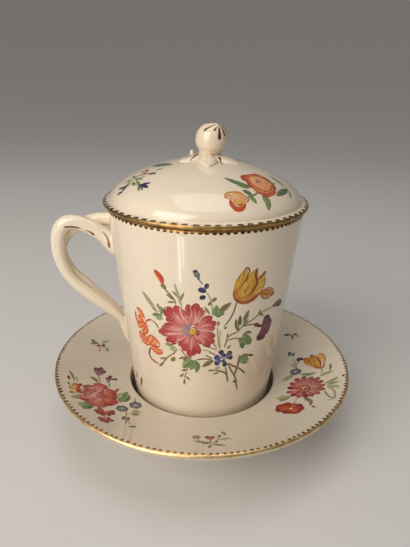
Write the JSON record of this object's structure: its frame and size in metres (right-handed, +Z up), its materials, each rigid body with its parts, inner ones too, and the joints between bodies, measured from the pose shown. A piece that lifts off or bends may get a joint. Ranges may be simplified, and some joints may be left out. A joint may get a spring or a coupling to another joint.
{
  "type": "trembleuse cup",
  "caption": "Tall covered porcelain cup with an entwined handle, standing in the deep well of its trembleuse saucer, gilt and painted with flower sprays.",
  "frame": {"origin": "on the cup's axis, at the level of the saucer's foot ring, which is what the part stands on", "axes": "+Z up along the cup's axis; the handle lies in the XZ plane on the -X side; -Y faces the viewer of the picture"},
  "size_m": [0.14, 0.14, 0.1404],
  "materials": {
    "saucer_porcelain": "glossy clear glaze on warm white hard-paste porcelain, with enamel flowers and gilding",
    "cup_porcelain": "glossy clear glaze on warm white hard-paste porcelain, with enamel flowers and gilding",
    "handle_porcelain": "glossy clear glaze on warm white hard-paste porcelain, with enamel flowers and gilding",
    "cover_porcelain": "glossy clear glaze on warm white hard-paste porcelain, with enamel flowers and gilding",
    "knob_porcelain": "glossy clear glaze on warm white hard-paste porcelain, with enamel flowers and gilding"
  },
  "bodies": {
    "saucer": {"saucer": "saucer_porcelain"},
    "cup": {"cup_body": "cup_porcelain", "handle_front_strand": "handle_porcelain", "handle_back_strand": "handle_porcelain"},
    "cover": {"cover": "cover_porcelain", "knob_stem": "knob_porcelain", "knob_bud": "knob_porcelain", "leaf_left": "knob_porcelain", "leaf_right": "knob_porcelain", "leaf_front": "knob_porcelain", "leaf_back": "knob_porcelain"}
  },
  "joints": [
    {"name": "cup_lift", "type": "slide", "parent": "saucer", "child": "cup", "axis": [0, 0, 1], "range_m": [0, 0.06]},
    {"name": "cover_lift", "type": "slide", "parent": "cup", "child": "cover", "axis": [0, 0, 1], "range_m": [0, 0.06]}
  ]
}
